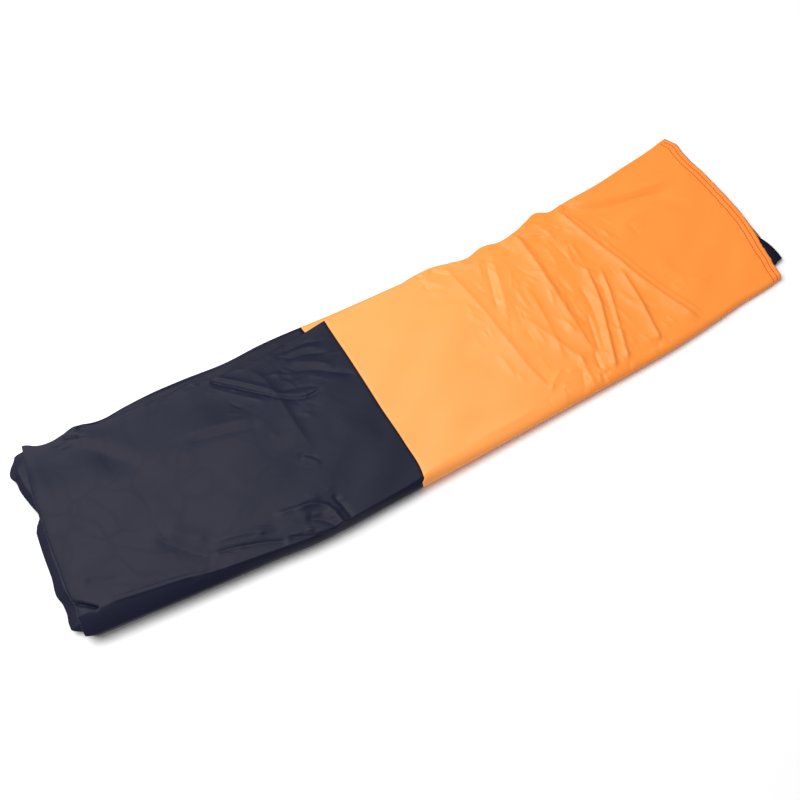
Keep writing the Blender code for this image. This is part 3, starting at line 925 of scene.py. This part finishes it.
def taffeta(name, colour, deep, pale, roughness, sheen, gloss, painted_highlight=0.0, glow=None):
    """Coated taffeta: colour with slow dye variation towards deep; pressed creases and painted highlight
    towards pale.
    """
    made, tree, shader = new_material(name)
    weave = place_group(tree, WEAVE, Yarn_pitch_mm=0.30, Relief=1.0)
    crumple = place_group(tree, CRUMPLE, Facet_rate=26.0, Relief=1.0)
    press = place_group(tree, PRESS, Amount=0.5)
    slow = noise(tree, 7.0, 4.0)
    dye = math_node(tree, "MULTIPLY", slow.outputs[0], 0.5)
    # Painted highlight: where the panels' mask is set, the base colour goes towards pale, in place of the
    # overhead light's gloss.
    painted_highlight_mask = tree.nodes.new("ShaderNodeAttribute")
    painted_highlight_mask.attribute_name = "painted_highlight_mask"
    painted_highlight_share = math_node(tree, "MULTIPLY", painted_highlight_mask.outputs["Fac"], painted_highlight)
    base = mix_colour(tree, painted_highlight_share, mix_colour(tree, dye, colour, deep), pale)
    yarn = math_node(tree, "MULTIPLY", weave.outputs["Tint"], 0.10)
    woven = mix_colour(tree, yarn, base, pale)
    worn = mix_colour(tree, math_node(tree, "MULTIPLY", press.outputs["Mask"], 0.35), woven, pale)
    tree.links.new(worn, shader.inputs["Base Color"])
    rough = math_node(tree, "MULTIPLY_ADD", slow.outputs[0], 0.12)
    rough.node.inputs[2].default_value = roughness - 0.06
    lined = math_node(tree, "MULTIPLY", crumple.outputs["Lines"], 0.08)
    tree.links.new(math_node(tree, "ADD", rough, lined), shader.inputs["Roughness"])
    shader.inputs["Specular IOR Level"].default_value = gloss
    shader.inputs["Sheen Weight"].default_value = sheen
    shader.inputs["Sheen Roughness"].default_value = 0.45
    if glow:
        shader.inputs["Emission Color"].default_value = (*glow, 1)
        shader.inputs["Emission Strength"].default_value = THROUGH_LIGHT
    fine = bump(tree, weave.outputs["Height"], 0.10, 0.00006)
    broad = bump(tree, crumple.outputs["Height"], 0.20, 0.0003)
    tree.links.new(fine.outputs[0], broad.inputs["Normal"])
    tree.links.new(broad.outputs[0], shader.inputs["Normal"])
    return made


def srgb(red, green, blue):
    """A colour as read from a swatch card, 0 to 255, in the linear values that Blender mixes."""
    shares = [v / 255 for v in (red, green, blue)]
    return tuple(v / 12.92 if v <= 0.04045 else ((v + 0.055) / 1.055) ** 2.4 for v in shares)


THROUGH_LIGHT = 0.10
# The orange carries the painted highlight at 0.55; the navy has none.
ORANGE = taffeta("orange_taffeta", srgb(239, 140, 54), srgb(236, 129, 42), srgb(240, 165, 90),
                 0.42, 0.06, 0.40, painted_highlight=0.55, glow=srgb(255, 122, 16))
NAVY = taffeta("navy_taffeta", srgb(22, 24, 42), srgb(17, 18, 34), srgb(50, 52, 74), 0.42, 0.0, 0.12)
print("materials:", ORANGE.name, NAVY.name)

# %% [markdown]
# ## The four panels
# Each gore is an orange mouth band sewn to a navy body. The body runs under its own band again after the
# turn at the folded end, so its grid has three runs. The outer gore is what one sees, so its grid is the
# finest.

# %% Panels
# Where the orange's painted highlight fades out, in metres from the folded end.
PAINTED_HIGHLIGHT_START, PAINTED_HIGHLIGHT_LENGTH = 0.42, 0.17
CREST_LEAST, CREST_GAIN = 0.05, 2.2


def crest_mask(points):
    """How sharply the sheet bends at each point, from 0 to 1."""
    normal = grid_normals(points)
    bend_r = np.linalg.norm(np.gradient(normal, axis=0), axis=2)
    bend_c = np.linalg.norm(np.gradient(normal, axis=1), axis=2)
    return np.clip((bend_r + bend_c - CREST_LEAST) * CREST_GAIN, 0, 1)


def panel(name, gore, row_array, column_array, material, nodes):
    """One whole panel: a folded sheet with its masks and the nodes that it stands for."""
    points = sheet_points(gore, row_array, column_array)
    # Painted highlight mask: 1 up to 0.42 m from the folded end, 0 from 0.59 m; it paints the overhead
    # light's gloss on the flat orange.
    painted_highlight_mask = 1 - smooth((points[..., 0] - START - PAINTED_HIGHLIGHT_START) / PAINTED_HIGHLIGHT_LENGTH)
    piece = cloth_piece(name, points, masks={"crest": crest_mask(points), "painted_highlight_mask": painted_highlight_mask})
    piece.data.materials.append(material)
    cross_fold(piece)
    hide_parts(*nodes)
    print(name, "grid", points.shape[:2])


def node_pair(kind, gore_word):
    """The frame's two nodes of one panel, one on each half."""
    return [f"{side}_{gore_word}_{kind}" for side in ("upper", "lower")]


FINE = columns(165, 20, 56)
COARSE = columns(60, 12, 40)
panel("body_outer", OUTER, body_rows(310, 25, 70), FINE, NAVY,
      node_pair("body_panel", "outer"))
panel("body_inner", INNER, body_rows(100, 15, 110), COARSE, NAVY,
      node_pair("body_panel", "inner"))
panel("mouth_band_outer", OUTER, band_rows(330), FINE, ORANGE,
      node_pair("mouth_band", "outer"))
panel("mouth_band_inner", INNER, band_rows(130), COARSE, ORANGE,
      node_pair("mouth_band", "inner"))

# %% [markdown]
# ## Thread
# Every row is a lockstitch: a short bight of thread lies on the cloth, dives through a needle hole and
# comes up again a little further on. Each bight is a small tube, bent so that its ends sink in. The hem's
# two rows are bright red-orange and stand about six millimetres apart. The rows of the side seams, the
# colour seam and the tail hem lie between the two gores, where a seam that's sewn right sides together
# hides them.

# %% Stitches
STITCH = 0.0027
STITCH_GAP = 0.0003
THREAD_RADIUS = 0.00046
TUBE_SIDES = 7
TUBE_STEPS = 6


def stitches(name, path, normals, radius, material):
    """Separate bights of thread along a path that lies on the cloth."""
    walked = np.concatenate([[0.0], np.cumsum(np.linalg.norm(np.diff(path, axis=0), axis=1))])
    count = int(walked[-1] // (STITCH + STITCH_GAP))
    starts = (np.arange(count) + 0.5) * walked[-1] / count - STITCH / 2
    t = np.linspace(0, 1, TUBE_STEPS)
    stops = starts[:, None] + t * STITCH
    centre = np.stack([np.interp(stops, walked, path[:, k]) for k in range(3)], axis=-1)
    up = np.stack([np.interp(stops, walked, normals[:, k]) for k in range(3)], axis=-1)
    up /= np.linalg.norm(up, axis=-1, keepdims=True)
    ahead = np.gradient(centre, axis=1)
    ahead /= np.linalg.norm(ahead, axis=-1, keepdims=True)
    side = np.cross(ahead, up)
    sunk = radius * (0.75 * np.sin(np.pi * t) ** 0.6 - 0.35)[None, :, None]
    thick = radius * (0.62 + 0.38 * np.sin(np.pi * t) ** 0.5)[None, :, None, None]
    turn = np.linspace(0, 2 * np.pi, TUBE_SIDES, endpoint=False)
    ring = side[:, :, None] * np.cos(turn)[None, None, :, None]
    ring = ring + 0.8 * up[:, :, None] * np.sin(turn)[None, None, :, None]
    vertices = (centre + up * sunk)[:, :, None] + ring * thick
    index = np.arange(count * TUBE_STEPS * TUBE_SIDES).reshape(count, TUBE_STEPS, TUBE_SIDES)
    a, b = index[:, :-1], index[:, 1:]
    quads = np.stack([a, np.roll(a, -1, axis=2), np.roll(b, -1, axis=2), b], axis=-1).reshape(-1, 4)
    caps = np.concatenate([index[:, 0, ::-1], index[:, -1]])
    mesh = bpy.data.meshes.new(name)
    mesh.from_pydata(vertices.reshape(-1, 3).tolist(), [], quads.tolist() + caps.tolist())
    mesh.shade_smooth()
    mesh.materials.append(material)
    return in_scene(name, mesh)


def thread(name, colour, slow_colour):
    """Twisted polyester thread."""
    made, tree, shader = new_material(name)
    place = tree.nodes.new("ShaderNodeTexCoord")
    ply = tree.nodes.new("ShaderNodeTexWave")
    ply.bands_direction = "DIAGONAL"
    ply.inputs["Scale"].default_value = 900.0
    ply.inputs["Distortion"].default_value = 1.5
    tree.links.new(place.outputs["Object"], ply.inputs["Vector"])
    tree.links.new(mix_colour(tree, ply.outputs["Fac"], slow_colour, colour), shader.inputs["Base Color"])
    shader.inputs["Roughness"].default_value = 0.55
    twist = bump(tree, ply.outputs["Fac"], 0.5, 0.00008)
    tree.links.new(twist.outputs[0], shader.inputs["Normal"])
    return made


RED = thread("red_thread", srgb(226, 56, 16), srgb(196, 40, 10))
DARK = thread("navy_thread", srgb(26, 26, 42), srgb(14, 14, 24))
FINE_STEP = 0.002
ROW_START = 0.012
HIDDEN_HEM_THREAD = 0.0002
HIDDEN_SEAM_THREAD = 0.00015
SIDE_SEAM_THREAD = 0.00012
BAND_LENGTH = {UPPER: 0.455, LOWER: 0.472}
HEM_THREAD = {OUTER: THREAD_RADIUS, INNER: HIDDEN_HEM_THREAD}
SEAM_ROW_SHARE = {OUTER: 0.011, INNER: 0.016}
TAIL_ROW_SHARE = {OUTER: 0.990, INNER: 0.985}
SIDE_ROW_SHARES = (0.018, 0.022, 0.026)


def half_columns(half, count):
    """Columns of one half only, from its side seam to the near fold."""
    flat = [(half, t, 0.0) for t in np.linspace(ROW_START, 1, count)]
    return np.array(flat + [(half, 1.0, t) for t in np.linspace(0, 1, 14)[1:-1]])


def tie(row, name, half):
    """Puts a row of thread on its half and in its node's place."""
    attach(row, "upper_half" if half > 0 else "lower_half")
    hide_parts(name)


def sew_across(name, level, face, kind, share, half, material, radius):
    """A row across the sleeve, at a share of the way along one kind of row."""
    near_rows = np.array([(kind, share - FINE_STEP), (kind, share), (kind, share + FINE_STEP)])
    points = sheet_points(level, near_rows, half_columns(half, 150))
    normals = grid_normals(points)[1]
    outward = np.sign((normals[:, 2] * half).mean()) * face
    path = points[1] + normals * outward * (CLOTH / 2 if level else 0.0)
    tie(stitches(name, path, normals * outward, radius, material), name, half)


HALVES = (("upper", UPPER), ("lower", LOWER))
GORES = (("outer", OUTER), ("inner", INNER))
for half_word, half in HALVES:
    for gore_word, gore in GORES:
        stem = f"{half_word}_{gore_word}"
        for row_word, distance in zip(("edge", "second"), HEM_ROWS):
            sew_across(f"{stem}_mouth_hem_{row_word}_row", gore, gore, BAND, distance / BAND_LENGTH[half],
                       half, RED, HEM_THREAD[gore])
        sew_across(f"{stem}_band_seam_row", 0.0, 1.0, BODY, SEAM_ROW_SHARE[gore], half,
                   DARK, HIDDEN_SEAM_THREAD)
        sew_across(f"{stem}_tail_hem_row", 0.0, 1.0, TAIL, TAIL_ROW_SHARE[gore], half,
                   DARK, HIDDEN_SEAM_THREAD)
    side_columns = np.array([(half, t, 0.0) for t in SIDE_ROW_SHARES])
    side_rows = np.concatenate([band_rows(150)[9:], body_rows(120, 15, 200)])
    side_points = sheet_points(0.0, side_rows, side_columns)
    side_name = f"{half_word}_side_seam_row"
    side_normals = grid_normals(side_points)[:, 1]
    side_seam = stitches(side_name, side_points[:, 1], side_normals, SIDE_SEAM_THREAD, DARK)
    tie(side_seam, side_name, half)
print("rows of thread:", sum(node.endswith("_row") for node in frame["nodes"]))

# %% [markdown]
# ## Floor and light
# A plain white table top, one very large soft light above and behind the bundle, and a dim room. The
# light stands behind, so the sloping near side stays in shade, as on a packshot table.

# %% Stage
FLOOR_LEVEL = -0.0005
SKY_PLACE = Vector((-0.55, 0.62, 1.45))
SKY_SIZE = 1.7
SKY_WATTS = 42.0
ROOM_LIGHT = 0.32

bpy.ops.mesh.primitive_plane_add(size=14.0, location=(0, 0, FLOOR_LEVEL))
floor = bpy.context.object
floor.name = "floor"
floor_material, _, floor_shader = new_material("white_table")
floor_shader.inputs["Base Color"].default_value = (0.98, 0.98, 0.98, 1)
floor_shader.inputs["Roughness"].default_value = 0.9
floor.data.materials.append(floor_material)

light = bpy.data.lights.new("sky_panel", "AREA")
light.shape = "SQUARE"
light.size = SKY_SIZE
light.energy = SKY_WATTS
sky_panel = in_scene("sky_panel", light)
sky_panel.location = SKY_PLACE
sky_panel.rotation_euler = SKY_PLACE.to_track_quat("Z", "Y").to_euler()

room = bpy.data.worlds.new("room")
room.use_nodes = True
room.node_tree.nodes["Background"].inputs[0].default_value = (1, 1, 1, 1)
room.node_tree.nodes["Background"].inputs[1].default_value = ROOM_LIGHT
bpy.context.scene.world = room
bpy.context.scene.view_settings.view_transform = "Standard"
print("sky panel", round(SKY_PLACE.length, 2), "m away, floor at", FLOOR_LEVEL * 1000, "mm")
